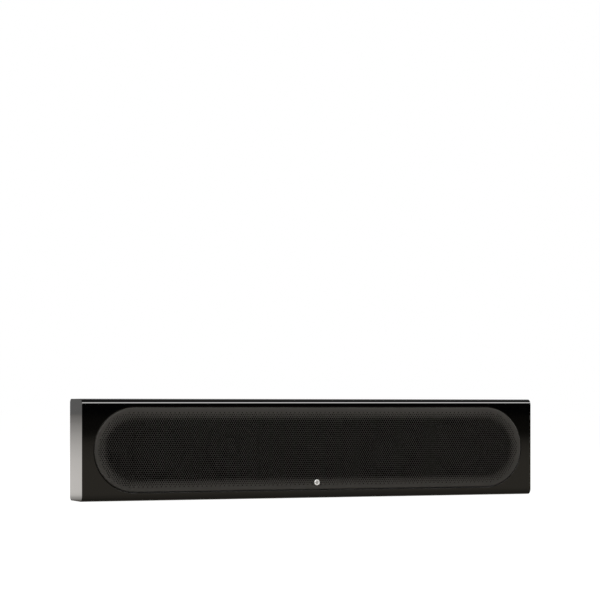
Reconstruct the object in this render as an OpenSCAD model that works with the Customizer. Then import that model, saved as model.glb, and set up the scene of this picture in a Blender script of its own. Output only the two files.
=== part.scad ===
/* [Cabinet] */
// Width of the cabinet over its end caps
cabinet_w = 727; // [710:1:900]
// Height of the cabinet
cabinet_h = 148.4; // [144:0.2:180]
// Depth of the cabinet, from its front face to the wall
cabinet_d = 65; // [63:1:90]
// Thickness of the extruded shell
wall = 3; // [2:0.5:4]
// Radius of the shell's long front edges
front_edge_r = 8.5; // [6:0.5:11]
// Radius of the shell's long rear edges
rear_edge_r = 6.5; // [5:0.5:9]
// Width of the shell's lip at the back, above and below the rear panel
rear_lip = 14; // [12:1:18]
// Depth of the ledge that the rear panel's screws go into
ledge_w = 9; // [8:1:12]
// Thickness of that ledge
ledge_t = 3; // [2:0.5:4]
// Thickness of each end cap
cap_t = 4; // [3:0.5:6]
// Rounding of each end cap's outer edge
cap_edge_r = 0.4; // [0.2:0.1:2]
// Reach of each end cap's spigot into the shell
spigot_l = 6; // [4:1:8]
// Thickness of the spigot's wall
spigot_t = 2; // [1.5:0.5:3]

/* [Baffle] */
// Thickness of the baffle board
baffle_t = 12; // [11:0.5:15]
// Depth of the pocket in its front that the grille drops into
pocket_depth = 4; // [3:0.5:5]

/* [Grille] */
// Distance from the cabinet's end to the grille's end
grille_margin_x = 18; // [15:0.5:30]
// Distance from the cabinet's top or bottom to the grille
grille_margin_z = 12.65; // [11:0.05:15]
// Shadow gap round the grille
grille_gap = 0.7; // [0.4:0.1:1.2]
// How far the grille stands in front of the cabinet
grille_proud = 1.2; // [0.6:0.1:2]
// Thickness of the grille's steel sheet
grille_t = 1; // [0.6:0.1:1.5]
// Outer radius of the fold round the grille's edge
grille_fold_r = 2.5; // [2:0.1:3]
// Width of the plain rim, from the edge to the outer holes' centres
grille_rim = 9; // [8:0.5:14]
// Spacing of the holes along a row
hole_pitch = 10.6; // [10:0.1:20]
// Diameter of one hole
hole_d = 7.6; // [4:0.1:8]
// Diameter of the pegs that hold the grille
peg_d = 5; // [4:0.5:6]

/* [Badge] */
// Diameter of the badge
badge_d = 10.2; // [8:0.1:14]
// Thickness of the badge
badge_t = 1.4; // [0.8:0.1:2]
// Height of the badge's centre above the grille's lower edge
badge_rise = 10.45; // [9:0.05:14]

/* [Drivers] */
// Distance of each passive radiator's axis from the cabinet's end
radiator_inset = 118.5; // [109:0.5:126]
// Distance between a radiator's axis and the woofer's beside it
driver_pitch = 115; // [107:1:120]
// Diameter of a woofer's or radiator's frame
driver_d = 104; // [98:1:106]
// Width of that frame's flange
flange_w = 9; // [8:0.5:10]
// Thickness of the flange
flange_t = 3; // [2:0.5:4]
// Width of the half-round roll in the surround
roll_w = 8; // [6:0.5:10]
// Thickness of surround, cone and spider
skin_t = 0.7; // [0.5:0.1:1]
// Diameter of the woofer's voice coil former
coil_d = 25; // [22:1:28]
// Depth of the woofer's basket behind its flange's front
basket_depth = 28; // [26:1:30]
// Diameter of the woofer's magnet
magnet_d = 70; // [64:1:76]
// Thickness of the woofer's magnet
magnet_t = 10; // [8:1:12]
// Thickness of the steel plates on both sides of the magnet
plate_t = 4; // [3:0.5:5]

/* [Tweeter] */
// Diameter of the tweeter's faceplate
tweeter_d = 70; // [64:1:76]
// Diameter of its dome
dome_d = 25; // [22:1:28]
// Diameter of its magnet
tweeter_magnet_d = 50; // [44:1:54]
// Thickness of its magnet
tweeter_magnet_t = 8; // [6:1:12]

/* [Back] */
// Thickness of the rear panel
panel_t = 4; // [3.5:0.5:5]
// Distance of the terminal cup's middle from the cabinet's end
cup_inset = 118.5; // [114:0.5:128]
// Width of the terminal cup's hollow
cup_w = 78; // [70:1:84]
// Height of the terminal cup's hollow
cup_h = 48; // [40:1:54]
// Depth of the terminal cup's hollow
cup_depth = 23; // [21:0.5:25]
// Distance between the two binding posts
post_pitch = 30; // [24:1:34]
// Diameter of a binding post's cap
post_cap_d = 14; // [12:1:16]
// Distance of each keyhole plate's middle from the cabinet's end
keyhole_inset = 45.5; // [41:0.5:51]
// Height of the keyholes above the middle of the cabinet
keyhole_z = 18; // [10:1:24]
// Diameter of the keyhole's round part
keyhole_d = 10; // [9:0.5:11]
// Width of the keyhole's slot
keyhole_slot = 5; // [4:0.5:6]
// Distance between the two bracket inserts
insert_pitch = 60; // [50:1:70]
// Diameter of the thread's bore in each bracket insert
insert_bore = 4.2; // [4:0.1:5]

/* [Crossover] */
// Distance of the crossover board's middle from the cabinet's end
board_inset = 118.5; // [114:0.5:124]
// Width of the crossover board
board_w = 100; // [90:1:104]
// Height of the crossover board
board_h = 84; // [78:1:90]

/* [Hidden] */

$fn = 64;

// Clearances: parts that slide together, and screws in their holes
fit = 0.15;
screw_clear = 0.3;

// Depths, measured along Y from the wall at zero to the front at minus the depth
front_y = -cabinet_d;
baffle_y = front_y + wall + fit;
seat_y = baffle_y + pocket_depth;
baffle_back_y = baffle_y + baffle_t;
panel_y = -panel_t;
ledge_y = panel_y - ledge_t;
sheet_y = front_y - grille_proud;
sheet_back_y = sheet_y + grille_t;

// The shell between the end caps
shell_l = cabinet_w - 2 * cap_t;
panel_h = cabinet_h - 2 * rear_lip;

// The grille and the opening it drops into
grille_w = cabinet_w - 2 * grille_margin_x;
grille_h = cabinet_h - 2 * grille_margin_z;
opening_w = grille_w + 2 * grille_gap;
opening_h = grille_h + 2 * grille_gap;
hole_row = hole_pitch * sin(60);
hole_reach = grille_h / 2 - grille_rim;
badge_z = badge_rise - grille_h / 2;

// Places along the width, counted from the cabinet's ends
radiator_x = cabinet_w / 2 - radiator_inset;
woofer_x = radiator_x - driver_pitch;
cup_x = cabinet_w / 2 - cup_inset;
keyhole_x = cabinet_w / 2 - keyhole_inset;
board_x = cabinet_w / 2 - board_inset;

// Pegs stand in the spaces between the drivers
peg_rise = 42;
peg_end_gap = 21;
peg_places = [
  for (s = [-1, 1], t = [-1, 1]) [s * (woofer_x + radiator_x) / 2, t * peg_rise],
  for (s = [-1, 1], t = [-1, 1]) [s * woofer_x * 0.48, t * peg_rise],
  for (s = [-1, 1]) [s * (radiator_x + driver_d / 2 + peg_end_gap), 0]
];
peg_depth = 5;
peg_base_w = 2.5;
peg_base_r = peg_d / 2 + peg_base_w;
peg_base_t = 1.5;
socket_t = 1.5;
socket_depth = 6;

// Radii shared by the woofers and the passive radiators
driver_r = driver_d / 2;
frame_r = driver_r - flange_w;
cone_r = frame_r - roll_w;
lip_w = 3;
driver_screw_r = driver_r - 3.8;
coil_r = coil_d / 2;
coil_t = 0.4;
winding_t = 0.6;
gap_t = 0.5;
pole_r = coil_r - coil_t - gap_t;
gap_r = coil_r + winding_t + gap_t;
cone_depth = 14;
cap_r = coil_r + 3.5;
basket_wall = 2;
basket_r = frame_r + 2.5;
ledge_q = 17;
ledge_r = frame_r - 6;
foot_r = magnet_d / 2 - 4;
screw_places = [45, 135, 225, 315];

// Fasteners
screw_r = 1.6;
screw_head_r = 3.2;
screw_head_t = 1.8;
small_screw_r = 1.2;
small_head_r = 2.3;
recess_w = 0.7;
recess_depth = 1;

// Tweeter
tweeter_r = tweeter_d / 2;
dome_r = dome_d / 2;
tweeter_screw_r = tweeter_r - 4;
tweeter_plate_t = 3;
tweeter_top_q = flange_t + 1;

// Back: cup, keyhole pockets, bosses
cup_wall = 2.5;
cup_rim = 9;
rim_t = 2;
post_r = 3;
post_bore_r = 2;
post_bore_l = 14;
collar_r = post_cap_d / 2 - 1;
collar_t = 3.2;
post_end_y = -6;
cup_floor_y = -cup_depth;
key_plate_w = 34;
key_plate_h = 58;
key_plate_t = 1.5;
key_pocket = [22, 10, 40];
key_travel = 13;
insert_l = 9;
insert_wall = 1.6;
boss_wall = 2;
board_t = 1.6;
board_gap = 6;
board_y = panel_y - board_gap;
board_hole = [board_w / 2 - 5, board_h / 2 - 5];
pad_gap = 4;
pad_size = [20, 18, panel_h - 2 * ledge_w - 2];
pad_x = woofer_x + magnet_d / 2 + pad_gap + pad_size[0] / 2;
inductor_t = 12;
inductor_bore_r = 5;
cheek_t = 1.2;
cheek_w = 2;
capacitor_r = 5.5;
capacitor_l = 20;
capacitor_pitch = 25;
capacitor_end = 1.5;
capacitor_end_r = 1;
resistor_size = [24, 7, 8];
resistor_pitch = 30;

black = [0.02, 0.02, 0.022];
satin_black = [0.05, 0.05, 0.05];
steel = [0.62, 0.62, 0.64];
brass_tone = [0.78, 0.62, 0.3];

// Extrudes a section drawn in depth and height along the cabinet's width
module along_x(length) {
  rotate([90, 0, 90]) linear_extrude(length, center = true) children();
}

// Extrudes a front view backwards from depth y
module slab(y, thickness) {
  translate([0, y + thickness, 0]) rotate([90, 0, 0]) linear_extrude(thickness) children();
}

// Turns a section of radius and depth about an axis that points to the wall
module turned(x, y, z = 0) {
  translate([x, y, z]) rotate([-90, 0, 0]) rotate_extrude() children();
}

// Straight round bar or hole along the same direction
module round_bar(x, y, z, r, length) {
  translate([x, y, z]) rotate([-90, 0, 0]) cylinder(r = r, h = length);
}

module stadium(w, h) {
  square([w - h, h], center = true);
  for (s = [-1, 1]) translate([s * (w - h) / 2, 0]) circle(d = h, $fn = 96);
}

module rounded(w, h, r) {
  square([w - 2 * r, h], center = true);
  square([w, h - 2 * r], center = true);
  for (s = [-1, 1], t = [-1, 1]) translate([s * (w / 2 - r), t * (h / 2 - r)]) circle(r = r);
}

// The cabinet's section in depth and height, drawn smaller by an inset
module section(inset) {
  front = front_edge_r - inset;
  rear = rear_edge_r - inset;
  y0 = front_y + inset;
  y1 = -inset;
  half = cabinet_h / 2 - inset;
  translate([y0 + front, -half]) square([y1 - rear - y0 - front, 2 * half]);
  translate([y0, front - half]) square([front, 2 * (half - front)]);
  translate([y1 - rear, rear - half]) square([rear, 2 * (half - rear)]);
  for (t = [-1, 1]) {
    translate([y0 + front, t * (half - front)]) circle(r = front);
    translate([y1 - rear, t * (half - rear)]) circle(r = rear);
  }
}

// Carries a section of radius and depth round a stadium's edge
module round_stadium(straight) {
  for (s = [-1, 1]) {
    translate([s * straight / 2, 0, 0])
      rotate([-90, 0, 0])
        rotate([0, 0, -90 * s])
          rotate_extrude(angle = 180, $fn = 96) children();
    rotate([0, 90 * s, 0]) linear_extrude(straight, center = true) children();
  }
}

// Screw with a domed head on the seat at zero, its shank going down
module pan_screw(r, head_r, length) {
  difference() {
    union() {
      cylinder(r = head_r, h = screw_head_t * 0.6);
      translate([0, 0, screw_head_t * 0.6]) cylinder(r1 = head_r, r2 = head_r * 0.6, h = screw_head_t * 0.4);
      translate([0, 0, -length]) cylinder(r = r, h = length);
    }
    cross_recess(screw_head_t, head_r);
  }
}

// Screw whose countersunk head ends flush at zero, its shank going down
module flat_screw(r, head_r, length) {
  difference() {
    union() {
      translate([0, 0, r - head_r]) cylinder(r1 = r, r2 = head_r, h = head_r - r);
      translate([0, 0, -length]) cylinder(r = r, h = length);
    }
    cross_recess(0, head_r);
  }
}

// Cross recess for a driver, cut down from a screw's top
module cross_recess(top, head_r) {
  for (a = [0, 90])
    rotate([0, 0, a])
      translate([-head_r * 0.6, -recess_w / 2, top - recess_depth])
        cube([head_r * 1.2, recess_w, 2 * recess_depth]);
}

module at_front(x, z, y) {
  translate([x, y, z]) rotate([90, 0, 0]) children();
}

module at_back(x, z, y) {
  translate([x, y, z]) rotate([-90, 0, 0]) children();
}

// Extruded shell: front wall with the grille's opening, top, bottom and rear lips with ledges
module cabinet() {
  color(black) difference() {
    along_x(shell_l) {
      difference() {
        section(0);
        section(wall);
        translate([-wall - 1, -panel_h / 2]) square([wall + 2, panel_h]);
      }
      for (t = [0, 1]) mirror([0, t]) rear_ledge();
    }
    slab(front_y - 1, wall + 2) stadium(opening_w, opening_h);
    for (p = panel_screw_places())
      round_bar(p[0], ledge_y - 1, p[1], screw_r + fit, ledge_t + 2);
  }
}

module rear_ledge() {
  translate([ledge_y, panel_h / 2 - ledge_w]) square([ledge_t, ledge_w + rear_lip - wall - rear_edge_r / 2]);
  translate([panel_y, panel_h / 2]) square([panel_t - wall / 2, rear_lip - wall - rear_edge_r / 2]);
}

function panel_screw_places() = [
  for (t = [-1, 1], k = [-2.5 : 2.5])
    [k * (shell_l - 24) / 5, t * (panel_h / 2 - ledge_w / 2)]
];

module end_cap() {
  color(black) union() {
    translate([-shell_l / 2, 0, 0])
      hull()
        for (a = [0, 30, 60, 90])
          translate([(cap_edge_r * (1 - sin(a)) - cap_t) / 2, 0, 0])
            along_x(cap_t - cap_edge_r * (1 - sin(a))) section(cap_edge_r * (1 - cos(a)));
    translate([(spigot_l - shell_l) / 2, 0, 0])
      along_x(spigot_l) difference() {
        spigot_area(0);
        spigot_area(spigot_t);
      }
  }
}

// Area inside the shell, in front of the rear ledges
module spigot_area(inset) {
  intersection() {
    section(wall + fit + inset);
    translate([front_y, -cabinet_h / 2]) square([ledge_y - fit - inset - front_y, cabinet_h]);
  }
}

module end_cap_left() {
  end_cap();
}

module end_cap_right() {
  mirror([1, 0, 0]) end_cap();
}

// Baffle board: grille pocket, driver seats and holes, peg sockets' holes
module baffle() {
  color(satin_black) difference() {
    along_x(shell_l - 2 * spigot_l - 2 * fit)
      intersection() {
        section(wall + fit);
        translate([baffle_y, -cabinet_h / 2]) square([baffle_t, cabinet_h]);
      }
    slab(baffle_y - 1, pocket_depth + 1) stadium(opening_w, opening_h);
    for (x = [-radiator_x, -woofer_x, woofer_x, radiator_x]) {
      round_bar(x, seat_y - 1, 0, driver_r + fit, flange_t + 1);
      round_bar(x, seat_y, 0, basket_r + 1, baffle_t);
      for (a = screw_places)
        round_bar(x + driver_screw_r * cos(a), seat_y, driver_screw_r * sin(a), screw_r + fit, baffle_t);
    }
    round_bar(0, seat_y - 1, 0, tweeter_r + fit, flange_t + 1);
    round_bar(0, seat_y, 0, tweeter_magnet_d / 2 + 1, baffle_t);
    for (a = screw_places)
      round_bar(tweeter_screw_r * cos(a), seat_y, tweeter_screw_r * sin(a), small_screw_r + fit, baffle_t);
    for (p = peg_places)
      round_bar(p[0], seat_y - 1, p[1], peg_d / 2 + socket_t + fit, socket_depth + 1);
  }
}

// Perforated steel sheet with its edge folded back, holes in a 60 degree stagger
module grille() {
  color(satin_black) union() {
    slab(sheet_y, grille_t) difference() {
      stadium(grille_w - 2 * grille_fold_r, grille_h - 2 * grille_fold_r);
      perforations();
    }
    round_stadium(grille_w - grille_h) fold_section();
  }
}

module perforations() {
  rows = floor(hole_reach / hole_row);
  for (r = [-rows : rows]) {
    z = r * hole_row;
    shift = (abs(r) % 2) * hole_pitch / 2;
    reach = (grille_w - grille_h) / 2 + sqrt(pow(hole_reach, 2) - pow(z, 2));
    count = floor((reach - shift) / hole_pitch);
    for (c = [-count - (shift > 0 ? 1 : 0) : count])
      translate([c * hole_pitch + shift, z]) circle(d = hole_d, $fn = 16);
  }
}

// Section of the fold: a quarter round and a straight edge that ends above the pocket's floor
module fold_section() {
  edge = grille_h / 2;
  translate([edge - grille_fold_r, sheet_y + grille_fold_r])
    intersection() {
      difference() {
        circle(r = grille_fold_r);
        circle(r = grille_fold_r - grille_t);
      }
      translate([0, -grille_fold_r]) square(grille_fold_r);
    }
  translate([edge - grille_t, sheet_y + grille_fold_r])
    square([grille_t, seat_y - fit - sheet_y - grille_fold_r]);
}

module grille_pegs() {
  color(satin_black)
    for (p = peg_places) {
      round_bar(p[0], sheet_back_y, p[1], peg_base_r, peg_base_t);
      round_bar(p[0], sheet_back_y, p[1], peg_d / 2, seat_y + peg_depth - sheet_back_y);
    }
}

module peg_sockets() {
  color([0.1, 0.1, 0.1])
    for (p = peg_places)
      difference() {
        round_bar(p[0], seat_y, p[1], peg_d / 2 + socket_t, socket_depth);
        round_bar(p[0], seat_y - 1, p[1], peg_d / 2 + fit, peg_depth + fit + 1);
      }
}

// Plain badge with a raised rim
module badge() {
  color([0.8, 0.8, 0.8])
    turned(0, sheet_y - badge_t, badge_z)
      polygon([
        [0, 0.35], [badge_d / 2 - 1.1, 0.35], [badge_d / 2 - 0.9, 0], [badge_d / 2 - 0.3, 0],
        [badge_d / 2, 0.3], [badge_d / 2, badge_t], [0, badge_t]
      ]);
}

// Half-round roll with a flat lip outside, where it meets the flange, and inside, on the cone
module surround(x) {
  middle = (frame_r + cone_r) / 2;
  color([0.06, 0.06, 0.06])
    turned(x, seat_y) {
      intersection() {
        translate([middle, 0]) difference() {
          circle(r = roll_w / 2 + skin_t);
          circle(r = roll_w / 2);
        }
        translate([0, -roll_w]) square([driver_r, roll_w]);
      }
      translate([frame_r, -skin_t]) square([driver_screw_r - screw_head_r - fit - frame_r, skin_t]);
      translate([cone_r - lip_w, -skin_t]) square([lip_w, skin_t]);
    }
}

module woofer_surround_left() {
  surround(-woofer_x);
}

module woofer_surround_right() {
  surround(woofer_x);
}

module radiator_surround_left() {
  surround(-radiator_x);
}

module radiator_surround_right() {
  surround(radiator_x);
}

module flange_holes() {
  for (a = screw_places)
    rotate([0, 0, a]) translate([driver_screw_r, 0, -1]) cylinder(r = screw_r + screw_clear, h = flange_t + 2);
}

// Cast basket: flange, six-windowed wall, spider ledge and a foot on the top plate
module woofer_basket(x) {
  color([0.12, 0.12, 0.12])
    translate([x, seat_y, 0]) rotate([-90, 0, 0]) difference() {
      rotate_extrude()
        polygon([
          [frame_r, 0], [driver_r, 0], [driver_r, flange_t], [basket_r, flange_t],
          [ledge_r + basket_wall, ledge_q + basket_wall], [foot_r, basket_depth - basket_wall],
          [foot_r, basket_depth], [gap_r, basket_depth], [gap_r, basket_depth - basket_wall],
          [foot_r - basket_wall, basket_depth - basket_wall], [ledge_r - 5, ledge_q + basket_wall],
          [ledge_r - 5, ledge_q], [ledge_r, ledge_q], [frame_r, flange_t]
        ]);
      for (k = [0 : 5])
        rotate([0, 0, 60 * k]) translate([ledge_r - 4, -9, flange_t + 2]) cube([driver_r, 18, ledge_q - flange_t - 5]);
      flange_holes();
    }
}

module woofer_basket_left() {
  woofer_basket(-woofer_x);
}

module woofer_basket_right() {
  woofer_basket(woofer_x);
}

module woofer_cone(x) {
  color([0.09, 0.09, 0.1])
    turned(x, seat_y)
      polygon([
        [cone_r - lip_w, 0], [cone_r, 0], [cone_r, skin_t],
        [coil_r + skin_t, cone_depth], [coil_r + fit, cone_depth], [coil_r + fit, cone_depth - skin_t]
      ]);
}

module woofer_cone_left() {
  woofer_cone(-woofer_x);
}

module woofer_cone_right() {
  woofer_cone(woofer_x);
}

// Dome that closes the cone's neck, a cut from a sphere resting on the cone
module woofer_dust_cap(x) {
  slope = (cone_depth - skin_t) / (cone_r - lip_w - coil_r - fit);
  rest_q = (cone_r - lip_w - cap_r) * slope - fit;
  ball_r = cap_r * 1.3;
  centre_q = rest_q + sqrt(pow(ball_r, 2) - pow(cap_r, 2));
  color([0.05, 0.05, 0.05])
    turned(x, seat_y)
      intersection() {
        translate([0, centre_q]) difference() {
          circle(r = ball_r);
          circle(r = ball_r - skin_t);
        }
        translate([0, rest_q - ball_r]) square([cap_r, ball_r]);
      }
}

module woofer_dust_cap_left() {
  woofer_dust_cap(-woofer_x);
}

module woofer_dust_cap_right() {
  woofer_dust_cap(woofer_x);
}

// Corrugated disc that centres the coil, flat where it is glued to the basket's ledge
module woofer_spider(x) {
  inner = coil_r + fit;
  flat_r = ledge_r - 5.5;
  waves = 3;
  steps = 24;
  rise = 1.2;
  level = ledge_q - skin_t;
  function height(k) = level - rise * pow(sin(180 * waves * k / steps), 2);
  top = [for (k = [0 : steps]) [inner + (flat_r - inner) * k / steps, height(k)]];
  under = [for (k = [steps : -1 : 0]) [inner + (flat_r - inner) * k / steps, height(k) + skin_t]];
  color([0.75, 0.6, 0.3])
    turned(x, seat_y)
      polygon(concat(top, [[ledge_r - 1, level], [ledge_r - 1, level + skin_t]], under));
}

module woofer_spider_left() {
  woofer_spider(-woofer_x);
}

module woofer_spider_right() {
  woofer_spider(woofer_x);
}

// Former with its winding in the magnet's gap
module woofer_coil(x) {
  start = cone_depth - skin_t;
  stop = basket_depth + plate_t + 3;
  color([0.72, 0.4, 0.2])
    turned(x, seat_y) {
      translate([coil_r - coil_t, start]) square([coil_t, stop - start]);
      translate([coil_r, basket_depth - 2]) square([winding_t, stop - basket_depth + 2]);
    }
}

module woofer_coil_left() {
  woofer_coil(-woofer_x);
}

module woofer_coil_right() {
  woofer_coil(woofer_x);
}

module ring(x, y, inner, outer, thickness) {
  turned(x, y) translate([inner, 0]) square([outer - inner, thickness]);
}

module woofer_top_plate(x) {
  color(steel) ring(x, seat_y + basket_depth, gap_r, foot_r, plate_t);
}

module woofer_top_plate_left() {
  woofer_top_plate(-woofer_x);
}

module woofer_top_plate_right() {
  woofer_top_plate(woofer_x);
}

module woofer_magnet(x) {
  color([0.16, 0.16, 0.17]) ring(x, seat_y + basket_depth + plate_t, gap_r + 4, magnet_d / 2, magnet_t);
}

module woofer_magnet_left() {
  woofer_magnet(-woofer_x);
}

module woofer_magnet_right() {
  woofer_magnet(woofer_x);
}

// Back plate and centre pole in one, turned from steel
module yoke(x, front_q, back_q, pole, plate_r, thickness) {
  color(steel)
    turned(x, seat_y)
      polygon([
        [0, front_q], [pole - 0.5, front_q], [pole, front_q + 0.5], [pole, back_q],
        [plate_r, back_q], [plate_r, back_q + thickness - 1], [plate_r - 1, back_q + thickness],
        [0, back_q + thickness]
      ]);
}

module woofer_yoke_left() {
  yoke(-woofer_x, basket_depth, basket_depth + plate_t + magnet_t, pole_r, magnet_d / 2 - 2, plate_t);
}

module woofer_yoke_right() {
  yoke(woofer_x, basket_depth, basket_depth + plate_t + magnet_t, pole_r, magnet_d / 2 - 2, plate_t);
}

// Shallow frame that carries a passive diaphragm
module radiator_frame(x) {
  color([0.12, 0.12, 0.12])
    translate([x, seat_y, 0]) rotate([-90, 0, 0]) difference() {
      rotate_extrude()
        polygon([
          [frame_r, 0], [driver_r, 0], [driver_r, flange_t], [basket_r, flange_t],
          [basket_r, baffle_t], [frame_r, baffle_t]
        ]);
      flange_holes();
    }
}

module radiator_frame_left() {
  radiator_frame(-radiator_x);
}

module radiator_frame_right() {
  radiator_frame(radiator_x);
}

// Stiff dished diaphragm with a raised ring
module radiator_cone(x) {
  color([0.09, 0.09, 0.1])
    turned(x, seat_y)
      polygon([
        [cone_r - lip_w, 0], [cone_r, 0], [cone_r, 1.5], [cone_r * 0.8, 4], [cone_r * 0.5, 5.5],
        [0, 5.5], [0, 4], [cone_r * 0.42, 4], [cone_r * 0.48, 3], [cone_r * 0.56, 3],
        [cone_r * 0.75, 2.5]
      ]);
}

module radiator_cone_left() {
  radiator_cone(-radiator_x);
}

module radiator_cone_right() {
  radiator_cone(radiator_x);
}

// Tuning weight on the diaphragm's back
module radiator_weight(x) {
  color(steel)
    turned(x, seat_y + 5.5)
      polygon([[0, 0], [14, 0], [14, 3], [13, 4], [5, 4], [5, 7], [0, 7]]);
}

module radiator_weight_left() {
  radiator_weight(-radiator_x);
}

module radiator_weight_right() {
  radiator_weight(radiator_x);
}

// Faceplate with a shallow horn round the dome
module tweeter_faceplate() {
  color([0.08, 0.08, 0.08])
    translate([0, seat_y, 0]) rotate([-90, 0, 0]) difference() {
      rotate_extrude()
        polygon([
          [dome_r + 3, flange_t], [dome_r + 3, 2], [dome_r + 7, 0.7], [dome_r + 11, 0],
          [tweeter_r - 0.5, 0], [tweeter_r, 0.5], [tweeter_r, flange_t]
        ]);
      for (a = screw_places)
        rotate([0, 0, a]) translate([tweeter_screw_r, 0, -1])
          cylinder(r = small_screw_r + screw_clear, h = flange_t + 2);
    }
}

// Soft dome with a small roll and a flat rim clamped behind the faceplate
module tweeter_dome() {
  ball_r = dome_r * 1.12;
  centre_q = flange_t + 0.5 + sqrt(pow(ball_r, 2) - pow(dome_r, 2));
  color([0.07, 0.07, 0.07])
    turned(0, seat_y) {
      intersection() {
        translate([0, centre_q]) difference() {
          circle(r = ball_r);
          circle(r = ball_r - 0.5);
        }
        translate([0, flange_t + 0.5 - ball_r]) square([dome_r, ball_r]);
      }
      translate([dome_r - 0.6, flange_t + 0.3]) square([6, 0.5]);
    }
}

module tweeter_coil() {
  color([0.72, 0.4, 0.2])
    ring(0, seat_y + flange_t + 0.9, dome_r - 0.5, dome_r, tweeter_plate_t + 2.5);
}

module tweeter_top_plate() {
  color(steel) ring(0, seat_y + tweeter_top_q, dome_r + gap_t, tweeter_magnet_d / 2 - 2, tweeter_plate_t);
}

module tweeter_magnet() {
  color([0.16, 0.16, 0.17])
    ring(0, seat_y + tweeter_top_q + tweeter_plate_t, dome_r + 3, tweeter_magnet_d / 2, tweeter_magnet_t);
}

module tweeter_yoke() {
  yoke(
    0, tweeter_top_q, tweeter_top_q + tweeter_plate_t + tweeter_magnet_t,
    dome_r - 0.5 - gap_t, tweeter_magnet_d / 2 - 1, tweeter_plate_t
  );
}

module driver_screws() {
  color(steel)
    for (x = [-radiator_x, -woofer_x, woofer_x, radiator_x], a = screw_places)
      at_front(x + driver_screw_r * cos(a), driver_screw_r * sin(a), seat_y)
        pan_screw(screw_r, screw_head_r, baffle_t - pocket_depth);
}

module tweeter_screws() {
  color(steel)
    for (a = screw_places)
      at_front(tweeter_screw_r * cos(a), tweeter_screw_r * sin(a), seat_y)
        pan_screw(small_screw_r, small_head_r, baffle_t - pocket_depth);
}

// Moulded panel: cup hole, keyhole pockets, insert bosses and crossover posts
module rear_panel() {
  color([0.06, 0.06, 0.06]) difference() {
    union() {
      slab(panel_y, panel_t) square([shell_l - 2 * fit, panel_h - 2 * fit], center = true);
      for (s = [-1, 1]) {
        translate([s * keyhole_x, 0, keyhole_z])
          slab(-key_pocket[1] - boss_wall, key_pocket[1])
            rounded(key_pocket[0] + 2 * boss_wall, key_pocket[2] + 2 * boss_wall, 4);
        round_bar(
          s * insert_pitch / 2, -insert_l - boss_wall, 0,
          insert_bore / 2 + insert_wall + boss_wall, insert_l
        );
      }
      for (p = board_holes()) round_bar(p[0], board_y, p[1], small_screw_r + boss_wall, board_gap + 1);
    }
    for (s = [-1, 1])
      translate([s * keyhole_x, 0, keyhole_z]) {
        slab(-key_plate_t, key_plate_t + 1) rounded(key_plate_w + 2 * fit, key_plate_h + 2 * fit, 4);
        slab(-key_pocket[1], key_pocket[1] + 1) rounded(key_pocket[0], key_pocket[2], 3);
      }
    for (p = insert_places()) round_bar(p, -insert_l, 0, insert_bore / 2 + insert_wall + fit / 3, insert_l + 1);
    translate([cup_x, 0, 0]) {
      slab(-rim_t, rim_t + 1) rounded(cup_w + 2 * cup_rim + 2 * fit, cup_h + 2 * cup_rim + 2 * fit, 6);
      slab(panel_y - 1, panel_t + 2) rounded(cup_w + 2 * cup_wall + 2 * fit, cup_h + 2 * cup_wall + 2 * fit, 5);
    }
    for (p = panel_screw_places()) screw_sink(p, panel_t);
    for (p = cup_screw_places()) round_bar(p[0], panel_y - 1, p[1], screw_r + fit, panel_t + 2);
    for (p = keyhole_screw_places()) round_bar(p[0], panel_y - 1, p[1], screw_r + fit, panel_t + 2);
    for (p = board_holes()) round_bar(p[0], board_y - 1, p[1], small_screw_r + fit, board_gap);
  }
}

function insert_places() = [for (s = [-1, 1]) s * insert_pitch / 2];

function board_holes() = [
  for (s = [-1, 1], t = [-1, 1]) [s * board_hole[0] - board_x, t * board_hole[1]]
];

function cup_screw_places() = [
  for (s = [-1, 1], t = [-1, 1])
    [cup_x + s * (cup_w / 2 + cup_rim - 4.2), t * (cup_h / 2 + cup_rim - 4.2)]
];

function keyhole_screw_places() = [
  for (s = [-1, 1], t = [-1, 1]) [s * keyhole_x, keyhole_z + t * (key_plate_h / 2 - 3.8)]
];

// Countersunk clearance hole for a flush screw, from the wall side
module screw_sink(place, depth) {
  round_bar(place[0], -depth - 1, place[1], screw_r + screw_clear, depth + 2);
  at_back(place[0], place[1], 0)
    translate([0, 0, screw_r - screw_head_r - screw_clear])
      cylinder(r1 = screw_r, r2 = screw_head_r + screw_clear, h = screw_head_r + screw_clear - screw_r + 0.001);
}

module rear_screws() {
  color([0.1, 0.1, 0.1])
    for (p = concat(panel_screw_places(), cup_screw_places(), keyhole_screw_places()))
      at_back(p[0], p[1], 0) flat_screw(screw_r, screw_head_r, panel_t + ledge_t);
}

// Recessed cup with a flush rim, and two holes for the posts in its floor
module terminal_cup() {
  color([0.05, 0.05, 0.05]) difference() {
    translate([cup_x, 0, 0]) {
      slab(-rim_t, rim_t) rounded(cup_w + 2 * cup_rim, cup_h + 2 * cup_rim, 6);
      slab(cup_floor_y - cup_wall, cup_depth + cup_wall) rounded(cup_w + 2 * cup_wall, cup_h + 2 * cup_wall, 5);
    }
    translate([cup_x, 0, 0]) slab(cup_floor_y, cup_depth + 1) rounded(cup_w, cup_h, 3);
    for (x = post_places()) round_bar(x, cup_floor_y - cup_wall - 1, 0, post_r + fit, cup_wall + 2);
    for (p = cup_screw_places()) screw_sink(p, rim_t);
  }
}

function post_places() = [for (s = [-1, 1]) cup_x + s * post_pitch / 2];

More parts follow.
